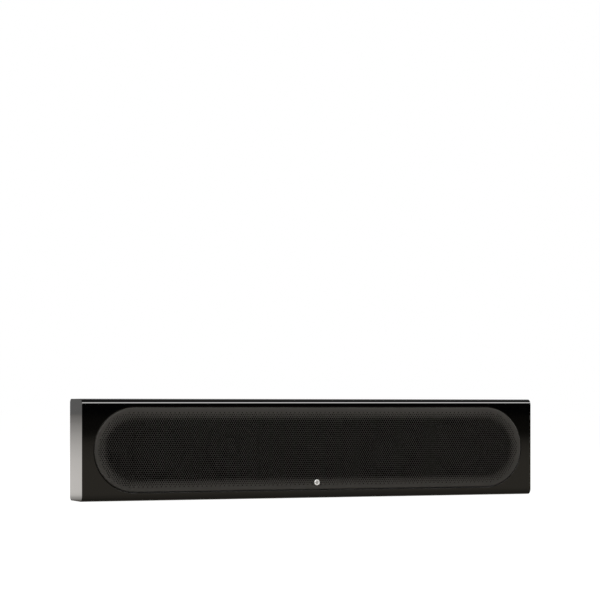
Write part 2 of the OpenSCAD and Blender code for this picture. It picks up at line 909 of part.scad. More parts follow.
// Plated post: stud through the cup's floor, collar, wire hole and plug socket
module binding_post(x) {
  collar_y = cup_floor_y + collar_t;
  color(brass_tone) difference() {
    union() {
      round_bar(x, cup_floor_y - cup_wall - 8, 0, post_r, post_end_y - cup_floor_y + cup_wall + 8);
      round_bar(x, cup_floor_y, 0, collar_r, collar_t);
    }
    round_bar(x, post_end_y - post_bore_l, 0, post_bore_r, post_bore_l + 1);
    translate([x, collar_y + 1.4, -post_r - 1]) cylinder(r = 1.1, h = 2 * post_r + 2);
  }
}

module post_red() {
  binding_post(post_places()[1]);
}

module post_black() {
  binding_post(post_places()[0]);
}

// Screw cap with a knurled grip and a hole for a plug
module post_cap(x, tone) {
  y0 = cup_floor_y + collar_t + 0.3;
  length = post_end_y + 1.5 - y0;
  flutes = 18;
  color(tone) difference() {
    turned(x, y0)
      polygon([
        [post_r + 0.06, 0], [post_cap_d / 2 - 0.6, 0], [post_cap_d / 2, 0.6],
        [post_cap_d / 2, length - 1], [post_cap_d / 2 - 1, length], [post_bore_r + 0.3, length],
        [post_bore_r + 0.3, length - 1.3], [post_r + 0.06, length - 1.3]
      ]);
    for (k = [0 : flutes - 1])
      round_bar(
        x + (post_cap_d / 2 + 0.5) * cos(360 * k / flutes), y0 + 1,
        (post_cap_d / 2 + 0.5) * sin(360 * k / flutes), 0.9, length - 3
      );
  }
}

module post_cap_red() {
  post_cap(post_places()[1], [0.7, 0.05, 0.04]);
}

module post_cap_black() {
  post_cap(post_places()[0], [0.05, 0.05, 0.05]);
}

module post_nuts() {
  color(brass_tone)
    for (x = post_places())
      difference() {
        translate([x, cup_floor_y - cup_wall, 0]) rotate([90, 0, 0]) cylinder(r = 5.6, h = 4, $fn = 6);
        round_bar(x, cup_floor_y - cup_wall - 5, 0, post_r + fit / 3, 6);
      }
}

// Steel hanger plates: a round entry with a slot above it
module keyhole_plates() {
  color(steel)
    for (s = [-1, 1])
      difference() {
        translate([s * keyhole_x, 0, keyhole_z])
          slab(-key_plate_t, key_plate_t) difference() {
            rounded(key_plate_w, key_plate_h, 4);
            translate([0, -key_travel / 2]) circle(d = keyhole_d);
            translate([0, key_travel / 2]) circle(d = keyhole_slot);
            square([keyhole_slot, key_travel], center = true);
          }
        for (p = keyhole_screw_places()) screw_sink(p, key_plate_t);
      }
}

module bracket_inserts() {
  color(brass_tone)
    for (x = insert_places())
      difference() {
        round_bar(x, -insert_l, 0, insert_bore / 2 + insert_wall, insert_l);
        round_bar(x, -insert_l - 1, 0, insert_bore / 2, insert_l + 2);
      }
}

// Printed board on four moulded posts
module crossover_board() {
  color([0.1, 0.3, 0.15])
    difference() {
      translate([-board_x, 0, 0]) slab(board_y - board_t, board_t) rounded(board_w, board_h, 3);
      for (p = board_holes())
        round_bar(p[0], board_y - board_t - 1, p[1], small_screw_r + screw_clear, board_t + 2);
    }
}

// Two air-cored coils wound on flanged bobbins
module inductors() {
  places = [[-24, 18, 16], [22, 20, 12]];
  color([0.72, 0.4, 0.2])
    for (c = places)
      turned(c[0] - board_x, board_y - board_t - inductor_t, c[1])
        polygon([
          [inductor_bore_r, 0], [c[2], 0], [c[2], cheek_t], [c[2] - cheek_w, cheek_t],
          [c[2] - cheek_w, inductor_t - cheek_t], [c[2], inductor_t - cheek_t],
          [c[2], inductor_t], [inductor_bore_r, inductor_t]
        ]);
}

// Film capacitors with crimped ends, lying on the board
module capacitors() {
  row_z = -18;
  color([0.85, 0.75, 0.2])
    for (k = [-1 : 1])
      translate([
        k * capacitor_pitch - board_x - capacitor_l / 2 + 1, board_y - board_t - capacitor_r, row_z
      ])
        rotate([0, 90, 0]) {
          cylinder(r = capacitor_r, h = capacitor_l);
          translate([0, 0, -capacitor_end])
            cylinder(r = capacitor_end_r, h = capacitor_l + 2 * capacitor_end);
        }
}

// Ceramic power resistors
module resistors() {
  row_z = -37;
  color([0.85, 0.84, 0.8])
    for (k = [-1, 0])
      translate([k * resistor_pitch + 4 - board_x, board_y - board_t - resistor_size[1], row_z])
        cube(resistor_size);
}

module board_screws() {
  color(steel)
    for (p = board_holes())
      at_front(p[0], p[1], board_y - board_t) pan_screw(small_screw_r, small_head_r, board_t + 4);
}

// Wadding on the inside of the rear panel
module damping_pads() {
  color([0.85, 0.85, 0.82])
    for (s = [-1, 1])
      translate([s * pad_x - pad_size[0] / 2, panel_y - pad_size[1], -pad_size[2] / 2]) cube(pad_size);
}

cabinet();
end_cap_left();
end_cap_right();
rear_panel();
rear_screws();
baffle();
grille();
grille_pegs();
peg_sockets();
badge();
woofer_basket_left();
woofer_surround_left();
woofer_cone_left();
woofer_dust_cap_left();
woofer_spider_left();
woofer_coil_left();
woofer_top_plate_left();
woofer_magnet_left();
woofer_yoke_left();
woofer_basket_right();
woofer_surround_right();
woofer_cone_right();
woofer_dust_cap_right();
woofer_spider_right();
woofer_coil_right();
woofer_top_plate_right();
woofer_magnet_right();
woofer_yoke_right();
radiator_frame_left();
radiator_surround_left();
radiator_cone_left();
radiator_weight_left();
radiator_frame_right();
radiator_surround_right();
radiator_cone_right();
radiator_weight_right();
tweeter_faceplate();
tweeter_dome();
tweeter_coil();
tweeter_top_plate();
tweeter_magnet();
tweeter_yoke();
driver_screws();
tweeter_screws();
crossover_board();
inductors();
capacitors();
resistors();
board_screws();
terminal_cup();
post_red();
post_black();
post_cap_red();
post_cap_black();
post_nuts();
keyhole_plates();
bracket_inserts();
damping_pads();
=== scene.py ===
import math

import bmesh
import bpy
import numpy as np
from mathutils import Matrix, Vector
from mathutils.geometry import delaunay_2d_cdt


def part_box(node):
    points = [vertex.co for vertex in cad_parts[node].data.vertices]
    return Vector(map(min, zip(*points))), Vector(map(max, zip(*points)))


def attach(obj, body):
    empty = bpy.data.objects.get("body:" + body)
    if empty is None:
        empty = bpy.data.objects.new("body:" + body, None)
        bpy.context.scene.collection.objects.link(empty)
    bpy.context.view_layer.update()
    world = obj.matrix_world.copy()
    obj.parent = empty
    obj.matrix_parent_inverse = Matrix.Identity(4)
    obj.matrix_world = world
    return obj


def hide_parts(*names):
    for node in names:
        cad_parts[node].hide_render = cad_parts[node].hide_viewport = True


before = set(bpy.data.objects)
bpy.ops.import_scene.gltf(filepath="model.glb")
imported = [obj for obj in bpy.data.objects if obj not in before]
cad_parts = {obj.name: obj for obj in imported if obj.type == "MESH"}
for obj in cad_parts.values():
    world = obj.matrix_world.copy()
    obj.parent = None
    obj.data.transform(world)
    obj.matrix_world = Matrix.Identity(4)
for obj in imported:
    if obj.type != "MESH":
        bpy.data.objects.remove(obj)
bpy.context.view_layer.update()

# The camera stands low and to the left, looking 22 degrees off the front's normal through a long
# lens. Its picture plane is upright and shifted, so the cabinet's vertical edges stay parallel.
photo_turn = math.radians(21.87)
camera_data = bpy.data.cameras.new("photo_camera")
camera_data.lens = 120
camera_data.sensor_width = 36
camera_data.shift_y = 0.1801
camera_data.clip_end = 200
camera = bpy.data.objects.new("photo_camera", camera_data)
camera.location = (-1.1418, -2.8434, 0.0607)
camera.rotation_euler = (math.radians(90), 0, -photo_turn)
bpy.context.scene.collection.objects.link(camera)
bpy.context.scene.camera = camera

# The cabinet is one aluminium extrusion: front wall, top, bottom and two rear lips with ledges for
# the rear panel. The grille's opening is milled in the front wall and its edge lightly rounded.
# It is sprayed with gloss black lacquer and polished.
cabinet_low, cabinet_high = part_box("cabinet")
shell_half = cabinet_high.x
front_y = cabinet_low.y
back_y = cabinet_high.y
half_high = cabinet_high.z
shell_wall = 0.003
front_round = 0.0085
rear_round = 0.0065
rear_lip = 0.014
panel_half = half_high - rear_lip
panel_t = 0.004
ledge_t = 0.003
ledge_w = 0.009
grille_low, grille_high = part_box("grille")
grille_half = grille_high.x
grille_radius = grille_high.z
shadow_gap = 0.0008
opening_radius = grille_radius + shadow_gap
opening_edge = 0.00025
spine_half = grille_half - grille_radius
flat_half = half_high - front_round
almost_0 = 1e-9
relief = 0.0003  # from a rounding's end to the extra points that keep the flat beside it flat in shading


def arc(centre, radius, start, stop, steps):
    """Points (n, 2) on a circle: centre + radius (cos a, sin a), a running from start to stop degrees."""
    a = np.radians(np.linspace(start, stop, steps + 1))
    return np.array(centre) + radius * np.stack([np.cos(a), np.sin(a)], 1)


def spine_rays(straight_steps, arc_steps, corner=None):
    """Feet and directions that carry a profile round a stadium.

    The feet lie on the spine, a line of half length spine_half. Above and below it the directions are
    straight up and down; round its ends they turn through a half circle. corner is an extra angle,
    from the long axis, that the end fans include in each quarter.
    """
    xs = np.linspace(spine_half, -spine_half, straight_steps + 1)
    quarter = np.linspace(0, math.pi / 2, arc_steps + 1)
    if corner is not None:
        quarter = np.sort(np.append(quarter, corner))
    fan = np.concatenate([-quarter[:0:-1], quarter])
    right = np.stack([np.cos(fan), np.sin(fan)], 1)
    top = np.tile([0.0, 1.0], (len(xs) - 2, 1))
    feet = np.concatenate([
        np.tile([spine_half, 0.0], (len(fan), 1)), np.stack([xs[1:-1], 0 * xs[1:-1]], 1),
        np.tile([-spine_half, 0.0], (len(fan), 1)), np.stack([-xs[1:-1], 0 * xs[1:-1]], 1)])
    return feet, np.concatenate([right, top, -right, -top])


def bands(first, loops, loop_size, wrap=True):
    """Quads between neighbouring rows of a (loops, loop_size) grid of points, numbered from first."""
    i = np.arange(loops - 1)[:, None]
    j = np.arange(loop_size if wrap else loop_size - 1)[None, :]
    k = (j + 1) % loop_size
    a, b = i * loop_size + j, i * loop_size + k
    return (first + np.stack([a, b, b + loop_size, a + loop_size], -1)).reshape(-1, 4)


def at_depth(flat, y):
    """Points (x, z) of an array (..., 2) carried to the depth y, as (..., 3)."""
    return np.stack([flat[..., 0], np.full(flat.shape[:-1], y), flat[..., 1]], -1)


def mesh_piece(name, points, faces, finish, crease=30, merge=1e-7):
    """A closed mesh fixed to the cabinet's body.

    Points closer than merge are joined, faces turned outwards, and edges sharp above crease degrees.
    """
    data = bpy.data.meshes.new(name)
    data.from_pydata(points.tolist(), [], [list(f) for f in faces])
    work = bmesh.new()
    work.from_mesh(data)
    bmesh.ops.remove_doubles(work, verts=work.verts, dist=merge)
    bmesh.ops.dissolve_degenerate(work, edges=work.edges, dist=merge)
    bmesh.ops.recalc_face_normals(work, faces=work.faces)
    work.to_mesh(data)
    work.free()
    data.shade_smooth()
    data.set_sharp_from_angle(angle=math.radians(crease))
    data.materials.append(finish)
    piece = bpy.data.objects.new(name, data)
    bpy.context.scene.collection.objects.link(piece)
    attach(piece, "cabinet_body")
    return piece


def finish_of(name, colour, roughness, metallic=0.0):
    """A principled material with these values, its node tree and its shader."""
    material = bpy.data.materials.new(name)
    material.use_nodes = True
    tree = material.node_tree
    shader = tree.nodes["Principled BSDF"]
    shader.inputs["Base Color"].default_value = (*colour, 1)
    shader.inputs["Roughness"].default_value = roughness
    shader.inputs["Metallic"].default_value = metallic
    return material, tree, shader


def grain(tree, scale, detail=2.0, stretch=None):
    """Noise on Object coordinates with scale cells to a metre, times stretch along each axis."""
    place = tree.nodes.new("ShaderNodeTexCoord")
    noise = tree.nodes.new("ShaderNodeTexNoise")
    noise.inputs["Scale"].default_value = scale
    noise.inputs["Detail"].default_value = detail
    if stretch is None:
        tree.links.new(place.outputs["Object"], noise.inputs["Vector"])
    else:
        mapping = tree.nodes.new("ShaderNodeMapping")
        mapping.inputs["Scale"].default_value = stretch
        tree.links.new(place.outputs["Object"], mapping.inputs["Vector"])
        tree.links.new(mapping.outputs["Vector"], noise.inputs["Vector"])
    return noise.outputs["Fac"]


def spread(tree, factor, low, high):
    """factor carried from 0.3..0.7, where most of a noise lies, to low..high, and held there outside."""
    span = tree.nodes.new("ShaderNodeMapRange")
    span.inputs["From Min"].default_value = 0.3
    span.inputs["From Max"].default_value = 0.7
    span.inputs["To Min"].default_value = low
    span.inputs["To Max"].default_value = high
    tree.links.new(factor, span.inputs["Value"])
    return span.outputs["Result"]


def blend_colours(tree, factor, first, second):
    """A colour from first to second as factor goes from 0 to 1, through the Mix node's colour sockets."""
    mix = tree.nodes.new("ShaderNodeMix")
    mix.data_type = "RGBA"
    mix.inputs[6].default_value = (*first, 1)
    mix.inputs[7].default_value = (*second, 1)
    tree.links.new(factor, mix.inputs[0])
    return mix.outputs[2]


def raise_grain(tree, shader, height, strength, distance):
    """Bump from a height of 0 to 1, where 1 stands distance metres high, times strength."""
    bump = tree.nodes.new("ShaderNodeBump")
    bump.inputs["Strength"].default_value = strength
    bump.inputs["Distance"].default_value = distance
    tree.links.new(height, bump.inputs["Height"])
    tree.links.new(bump.outputs["Normal"], shader.inputs["Normal"])


def gloss_lacquer():
    """Polished black lacquer: nearly black, a trace of orange peel and of hazed patches."""
    material, tree, shader = finish_of("gloss_lacquer", (0.0004, 0.0004, 0.0004), 0.03)
    tree.links.new(spread(tree, grain(tree, 14, 3), 0.012, 0.03), shader.inputs["Roughness"])
    raise_grain(tree, shader, grain(tree, 300, 1), 0.004, 0.0005)
    return material


lacquer = gloss_lacquer()


def shell_mesh():
    """The extrusion as a closed grid.

    Front wall: loops on the spine's rays, from the inner face through the opening's rounded edge to
    the outer face's long edges. A ray reaches the long edge at flat_half / |z| and the end at
    end_reach / |x|, whichever is nearer. Upper and lower halves: the C section from that edge over
    the top, round the back and along the inside, carried along X at the same stations.
    """
    end_reach = shell_half - spine_half
    feet, rays = spine_rays(straight_steps=58, arc_steps=24, corner=math.atan2(flat_half, end_reach))
    across, up = np.abs(rays).T
    with np.errstate(divide="ignore"):
        to_long = np.where(up > almost_0, flat_half / up, np.inf)
        to_end = np.where(across > almost_0, end_reach / across, np.inf)
    edge_reach = np.minimum(to_long, to_end)
    wall_y = front_y + shell_wall

    def loop(reach, y):
        return at_depth(feet + rays * np.reshape(reach, (-1, 1)), y)

    rounding = arc((opening_radius + opening_edge, front_y + opening_edge), opening_edge, 180, 270, 5)
    loops = [loop(edge_reach, wall_y), loop(opening_radius, wall_y)]
    loops += [loop(r, y) for r, y in rounding]
    loops += [
        loop(opening_radius + opening_edge + relief, front_y), loop(edge_reach - relief, front_y),
        loop(edge_reach, front_y)]
    front = np.concatenate(loops)
    faces = bands(0, len(loops), len(feet)).tolist()
    edge_x, _, edge_z = loops[-1].T
    stations = np.unique(np.round(edge_x[np.abs(edge_z - flat_half) < almost_0], 9))
    inner_round = front_round - shell_wall
    section = np.concatenate([
        arc((front_y + front_round, flat_half), front_round, 180, 90, 16),
        [[front_y + front_round + relief, half_high], [back_y - rear_round - relief, half_high]],
        arc((back_y - rear_round, half_high - rear_round), rear_round, 90, 0, 12),
        [[back_y, half_high - rear_round - relief], [back_y, panel_half + relief]],
        [[back_y - relief, panel_half], [back_y - panel_t, panel_half]],
        [[back_y - panel_t, panel_half - ledge_w], [back_y - panel_t - ledge_t, panel_half - ledge_w]],
        [[back_y - panel_t - ledge_t, half_high - shell_wall]],
        arc((front_y + front_round, flat_half), inner_round, 90, 180, 8)])
    points = [front]
    count = len(front)
    size = len(section)
    for side in (1, -1):
        grid = np.zeros((len(stations), size, 3))
        grid[:, :, 0] = stations[:, None]
        grid[:, :, 1] = section[None, :, 0]
        grid[:, :, 2] = side * section[None, :, 1]
        points.append(grid.reshape(-1, 3))
        faces += bands(count, len(stations), size, wrap=False).tolist()
        last = count + (len(stations) - 1) * size
        faces += [range(count, count + size), range(last, last + size)]
        count = last + size
    # The ends of the front wall close between its outer and its inner loop.
    outer = len(front) - len(feet)
    j = np.arange(len(feet))
    k = (j + 1) % len(feet)
    at_end = np.abs(np.abs(edge_x) - shell_half) < almost_0
    faces += np.stack([outer + j, outer + k, k, j], 1)[at_end[j] & at_end[k]].tolist()
    return np.concatenate(points), faces


shell = mesh_piece("cabinet_shell", *shell_mesh(), lacquer)
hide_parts("cabinet")

# Each end cap is a moulded plate with the cabinet's own outline, its outer edge rounded, and a
# spigot that fits inside the extrusion. It is glued in and lacquered with the cabinet.
cap_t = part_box("end_cap_right")[1].x - shell_half
cap_edge = 0.0004
spigot_l = 0.006
spigot_t = 0.002
spigot_fit = 0.00015


def outline(inset):
    """The cabinet's outline in depth and height, drawn in by inset.

    Four arcs and four straight sides, with an extra point close to each arc's ends so that the sides
    shade flat.
    """
    front, rear = front_round - inset, rear_round - inset
    y0, y1 = front_y + front_round, back_y - rear_round
    z0, z1 = half_high - front_round, half_high - rear_round
    upper = np.concatenate([
        [[y0 - front, z0 - relief]], arc((y0, z0), front, 180, 90, 12), [[y0 + relief, z0 + front]],
        [[y1 - relief, z1 + rear]], arc((y1, z1), rear, 90, 0, 12), [[y1 + rear, z1 - relief]]])
    return np.concatenate([upper, upper[::-1] * (1, -1)])


def cap_mesh(side):
    """Rows of the outline from the spigot's root over the seam and the rounded edge to the flat face.

    A row is its place along X from the seam, its inset, and whether it is the spigot's, which stops
    short of the ledges.
    """
    spigot_out = shell_wall + spigot_fit
    spigot_in = spigot_out + spigot_t
    rows = [
        (0, spigot_in, True), (-spigot_l, spigot_in, True), (-spigot_l, spigot_out, True),
        (0, spigot_out, True), (0, 0, False), (cap_t - cap_edge - relief, 0, False)]
    rows += [
        (cap_t - cap_edge + cap_edge * math.sin(a), cap_edge * (1 - math.cos(a)), False)
        for a in np.linspace(0, math.pi / 2, 9)]
    rows += [(cap_t, cap_edge + relief, False)]
    behind = back_y - panel_t - ledge_t - spigot_fit
    points = []
    for along, inset, inside in rows:
        flat = outline(inset)
        y = np.minimum(flat[:, 0], behind - (inset - spigot_out)) if inside else flat[:, 0]
        points.append(np.stack([np.full(len(flat), side * (shell_half + along)), y, flat[:, 1]], 1))
    size = len(points[0])
    faces = bands(0, len(rows), size).tolist()
    faces += [range(size), range((len(rows) - 1) * size, len(rows) * size)]
    return np.concatenate(points), faces


for side, word in ((-1, "left"), (1, "right")):
    cap = mesh_piece(f"end_plate_{word}", *cap_mesh(side), lacquer)
    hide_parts(f"end_cap_{word}")

# The grille is one steel sheet punched with round holes in a stagger near 60 degrees. The holes shrink
# towards the rim, and the sheet's edge is rolled over and folded back. It is powder coated.
sheet_y = grille_low.y
sheet_t = 0.0007
flange_y = grille_high.y
fold = 0.0017
hole_pitch = 0.003488
hole_row = 0.002992
side_rows = 18
side_columns = 100
field_radius = 0.0552
fade_depths = (0.45, 1.45, 2.45, 3.45, 4.45)
fade_radii = (0.00103, 0.00105, 0.00116, 0.00146, 0.00164)
field_parts = ("left", "middle", "right")


def powder_coat():
    """Satin black powder coat with its fine pebbled skin."""
    material, tree, shader = finish_of("powder_coat", (0.0172, 0.0158, 0.0138), 0.55)
    peel = grain(tree, 2600, 2)
    colour = blend_colours(tree, peel, (0.0155, 0.0143, 0.0125), (0.0190, 0.0175, 0.0153))
    tree.links.new(colour, shader.inputs["Base Color"])
    tree.links.new(spread(tree, peel, 0.5, 0.62), shader.inputs["Roughness"])
    shader.inputs["Specular IOR Level"].default_value = 0.28
    raise_grain(tree, shader, peel, 0.25, 0.00006)
    return material


coat = powder_coat()


def spine_distance(x, z):
    """Distance of x, z from the spine, a line from -spine_half to spine_half."""
    return np.hypot(np.maximum(np.abs(x) - spine_half, 0), z)


def centre_of(c, r):
    """x and z of the hole in column c and row r. Odd rows stand half a pitch to the right."""
    return (c + (r % 2) / 2) * hole_pitch, r * hole_row


def in_field(c, r):
    """True for a cell whose centre lies in the field."""
    return (spine_distance(*centre_of(c, r)) <= field_radius) & (np.abs(r) <= side_rows)


def field_cells():
    """Column and row of every cell of the field."""
    columns = np.arange(-side_columns, side_columns + 1)
    rows = np.arange(-side_rows, side_rows + 1)
    c, r = [g.ravel() for g in np.meshgrid(columns, rows)]
    inside = in_field(c, r)
    return c[inside], r[inside]


def hexagons(x, z):
    """Corners (n, 6, 2) of the cells round centres x, z: hexagons stretched to fill the stagger."""
    turn = math.pi / 6 + np.arange(6) * math.pi / 3
    wide, high = hole_pitch / math.sqrt(3), hole_row / 1.5
    return np.stack([x[:, None] + wide * np.cos(turn), z[:, None] + high * np.sin(turn)], -1)


def border_of(c, r):
    """The border of a group of cells: its corners (n, 2), and its edges as pairs of corners.

    Corners of neighbouring cells are one where they fall on the same point of a lattice of half a
    pitch by a third of a row. An edge is on the border where only one cell has it.
    """
    corners = hexagons(*centre_of(c, r))
    keys = np.round(corners / (hole_pitch / 2, hole_row / 3)).astype(int).reshape(-1, 2)
    unique, index = np.unique(keys, axis=0, return_inverse=True)
    index = index.reshape(-1, 6)
    places = np.zeros((len(unique), 2))
    places[index.ravel()] = corners.reshape(-1, 2)
    pairs = np.stack([index, np.roll(index, -1, 1)], -1).reshape(-1, 2)
    _, which, counts = np.unique(np.sort(pairs, 1), axis=0, return_inverse=True, return_counts=True)
    kept, edges = np.unique(pairs[counts[which.ravel()] == 1], return_inverse=True)
    return places[kept], edges.reshape(-1, 2)


def border_wall(corners, edges, first):
    """A wall through the sheet along a border: its points, front then back, and its quads from first on."""
    points = [at_depth(corners, y) for y in (sheet_y, sheet_y + sheet_t)]
    quads = np.concatenate([edges, edges[:, ::-1] + len(corners)], 1) + first
    return np.concatenate(points), quads.tolist()


def field_mesh(c, r):
    """The perforated field over some cells.

    A cell is a hexagon round its hole. Its front and back faces join the six corners to twelve points
    on the hole, and a wall lines the hole. The hole's radius follows fade_radii by how many rows its
    centre lies inside the field's edge. In the outermost row every second cell stays whole.
    """
    x, z = centre_of(c, r)
    depth = (field_radius - spine_distance(x, z)) / hole_row
    radius = np.interp(depth, fade_depths, fade_radii)[:, None]
    whole = (depth < 0.5) & ((c + (np.abs(r) == side_rows)) % 2 == 0)
    ring = math.pi / 4 + np.arange(12) * math.pi / 6
    circles = np.stack([x[:, None] + radius * np.cos(ring), z[:, None] + radius * np.sin(ring)], -1)
    flat = np.concatenate([hexagons(x, z), circles], 1)
    points = [at_depth(flat, y).reshape(-1, 3) for y in (sheet_y, sheet_y + sheet_t)]
    # Each cell has 18 points on either face: six corners k, then the circle's twelve.
    back = len(x) * 18
    base = np.arange(len(x))[:, None] * 18
    k = np.arange(6)[None, :]
    a, b = base + k, base + (k + 1) % 6
    p, q, s = base + 6 + 2 * k, base + 7 + 2 * k, base + 6 + (2 * k - 1) % 12
    open_cells = ~whole
    front = np.concatenate([np.stack([a, p, s], -1), np.stack([a, q, p], -1), np.stack([a, b, q], -1)], 1)
    front = front[open_cells].reshape(-1, 3)
    j = np.arange(12)[None, :]
    u, v = base + 6 + j, base + 6 + (j + 1) % 12
    walls = np.stack([u, v, v + back, u + back], -1)[open_cells].reshape(-1, 4)
    plain = (base + np.arange(6)[None, ::-1])[whole]
    faces = [*front.tolist(), *(front[:, ::-1] + back).tolist(), *walls.tolist()]
    faces += [*plain.tolist(), *(plain[:, ::-1] + back).tolist()]
    edge, edge_faces = border_wall(*border_of(c, r), 2 * back)
    return np.concatenate([*points, edge]), faces + edge_faces


def over_field(spots):
    """True for each spot (x, z) that lies over the field's cells.

    A spot belongs to the cell with the nearest centre, looked for in the three nearest rows, on a
    scale where the stagger is even.
    """
    x, z = spots.T
    row = np.round(z / hole_row).astype(int)
    nearest = np.full(len(spots), np.inf)
    inside = np.zeros(len(spots), bool)
    for r in (row - 1, row, row + 1):
        c = np.round(x / hole_pitch - (r % 2) / 2)
        cx, cz = centre_of(c, r)
        away = np.hypot((x - cx) / hole_pitch, (z - cz) / hole_row * math.sin(math.radians(60)))
        inside = np.where(away < nearest, in_field(c, r), inside)
        nearest = np.minimum(away, nearest)
    return inside


def rim_mesh(corners, edges):
    """The plain rim and fold.

    Front and back faces fill between the field's border and the loop where the fold starts. The fold
    is a quarter round and a straight flange, outside and inside, carried on the spine's rays. A wall
    closes the sheet along the border.
    """
    feet, rays = spine_rays(straight_steps=96, arc_steps=32)
    start = grille_radius - fold
    outer = arc((start, sheet_y + fold), fold, -90, 0, 10)
    inner = arc((start, sheet_y + fold), fold - sheet_t, 0, -90, 6)
    flange = [(grille_radius, flange_y), (grille_radius - sheet_t, flange_y)]
    rows = [(start, sheet_y), *outer[1:], *flange, *inner]
    points = [at_depth(feet + rays * reach, y) for reach, y in rows]
    faces = bands(0, len(rows), len(feet)).tolist()
    count = len(rows) * len(feet)
    flat = np.concatenate([feet + rays * start, feet + rays * (start - relief), corners])
    n = len(feet)
    j = np.arange(n)
    around = np.stack([j, (j + 1) % n], 1)
    held_edges = np.concatenate([around, around + n, edges + 2 * n]).tolist()
    found, _, tris, *_ = delaunay_2d_cdt(flat.tolist(), held_edges, [], 0, 1e-7)
    found = np.array([tuple(v) for v in found])
    tris = np.array(tris)
    tris = tris[~over_field(found[tris].mean(1))]
    for y, turn in ((sheet_y, 1), (sheet_y + sheet_t, -1)):
        points.append(at_depth(found, y))
        faces += (tris[:, ::turn] + count).tolist()
        count += len(found)
    edge, edge_faces = border_wall(corners, edges, count)
    return np.concatenate([*points, edge]), faces + edge_faces


cell_c, cell_r = field_cells()
rim = mesh_piece("grille_rim", *rim_mesh(*border_of(cell_c, cell_r)), coat, merge=1e-6)
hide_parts("grille")
part_columns = (cell_c.max() - cell_c.min() + 1) / len(field_parts)
part_of = ((cell_c - cell_c.min()) / part_columns).astype(int)
for number, word in enumerate(field_parts):
    chosen = part_of == number
    field = mesh_piece(
        f"grille_field_{word}", *field_mesh(cell_c[chosen], cell_r[chosen]), coat, merge=1e-6)
    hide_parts("grille")

# The badge is a small disc turned from aluminium, its sunk centre blasted grey inside a polished rim,
# whose bright colour is partly a painted highlight. It is glued to the grille's face, over the holes.
badge_low, badge_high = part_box("badge")
badge_lift = 0.0003
badge_face = badge_low.y
badge_back = badge_high.y
badge_r = 0.0042
badge_z = (badge_low.z + badge_high.z) / 2 + badge_lift
badge_rim = 0.0014
badge_sunk = 0.0003
badge_slope = 0.0002
badge_round = 0.0003
badge_sides = 64
rim_inner = badge_r - badge_rim


def turned_mesh(profile, z):
    """A closed solid of revolution about a line along Y at height z.

    A profile point (radius, y) goes round as (radius cos a, y, z + radius sin a). The first and last
    points lie on the axis.
    """
    a = np.linspace(0, 2 * math.pi, badge_sides, endpoint=False)
    radius, y = profile[:, :1], profile[:, 1:]
    grid = np.stack([radius * np.cos(a), np.repeat(y, badge_sides, 1), z + radius * np.sin(a)], -1)
    return grid.reshape(-1, 3), bands(0, len(profile), badge_sides).tolist()


def turned_aluminium():
    """Aluminium with tool marks in rings about the badge's axis: a grey centre inside a bright rim, its
    brightness partly the polish and partly a painted highlight.
    """
    material, tree, shader = finish_of("turned_aluminium", (0.9, 0.9, 0.89), 0.3, 0.6)
    place = tree.nodes.new("ShaderNodeTexCoord")
    mapping = tree.nodes.new("ShaderNodeMapping")
    mapping.inputs["Location"].default_value = (0, 0, -badge_z)
    mapping.inputs["Scale"].default_value = (1, 0.0001, 1)
    rings = tree.nodes.new("ShaderNodeTexWave")
    rings.wave_type = "RINGS"
    rings.rings_direction = "SPHERICAL"
    rings.inputs["Scale"].default_value = 900
    reach = tree.nodes.new("ShaderNodeVectorMath")
    reach.operation = "LENGTH"
    edge = tree.nodes.new("ShaderNodeMapRange")
    edge.inputs["From Min"].default_value = rim_inner - badge_slope
    edge.inputs["From Max"].default_value = rim_inner
    tree.links.new(place.outputs["Object"], mapping.inputs["Vector"])
    tree.links.new(mapping.outputs["Vector"], rings.inputs["Vector"])
    tree.links.new(mapping.outputs["Vector"], reach.inputs[0])
    tree.links.new(reach.outputs["Value"], edge.inputs["Value"])
    # The rim's bright colour is its polish and partly a painted highlight of light caught on its edge.
    colour = blend_colours(tree, edge.outputs["Result"], (0.5, 0.5, 0.5), (1, 1, 0.99))
    tree.links.new(colour, shader.inputs["Base Color"])
    raise_grain(tree, shader, rings.outputs["Fac"], 0.15, 0.00002)
    return material


badge_profile = np.concatenate([
    [[0, badge_face + badge_sunk], [rim_inner, badge_face + badge_sunk]],
    [[rim_inner + badge_slope, badge_face]],
    arc((badge_r - badge_round, badge_face + badge_round), badge_round, -90, 0, 6),
    [[badge_r, badge_back], [0, badge_back]]])
badge = mesh_piece("badge_disc", *turned_mesh(badge_profile, badge_z), turned_aluminium(), crease=40)
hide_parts("badge")


# Behind the grille: the baffle is fibreboard painted flat black, with the grille's plastic pegs in
# rubber sockets. The drivers have cast alloy baskets, moulded cones and rubber surrounds. All are
# black, and their colours are darkened further to near zero as painted shade behind the grille.
sides = ("left", "right")


def pair(*names):
    """The node names of left and right pieces."""
    return [f"{name}_{side}" for name in names for side in sides]


def dress(material, *names):
    """Gives CAD nodes their finish."""
    for name in names:
        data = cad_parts[name].data
        data.materials.clear()
        data.materials.append(material)


def painted_board():
    """Flat black paint rolled on fibreboard, darkened further as painted shade."""
    material, tree, shader = finish_of("painted_board", (0.001, 0.001, 0.001), 0.9)
    shader.inputs["Specular IOR Level"].default_value = 0.01
    raise_grain(tree, shader, grain(tree, 1500, 3), 0.3, 0.0001)
    return material


def moulded_plastic(name, colour, roughness, scale=3200, shine=0.5):
    """Spark-textured moulding, its roughness 0.06 either way."""
    material, tree, shader = finish_of(name, colour, roughness)
    shader.inputs["Specular IOR Level"].default_value = shine
    texture = grain(tree, scale, 2)
    tree.links.new(spread(tree, texture, roughness - 0.06, roughness + 0.06), shader.inputs["Roughness"])
    raise_grain(tree, shader, texture, 0.35, 0.00008)
    return material


def cast_alloy():
    """Satin black coated casting, darkened further as painted shade."""
    material, tree, shader = finish_of("cast_alloy", (0.001, 0.001, 0.001), 0.7)
    shader.inputs["Specular IOR Level"].default_value = 0.01
    raise_grain(tree, shader, grain(tree, 900, 3), 0.2, 0.0001)
    return material


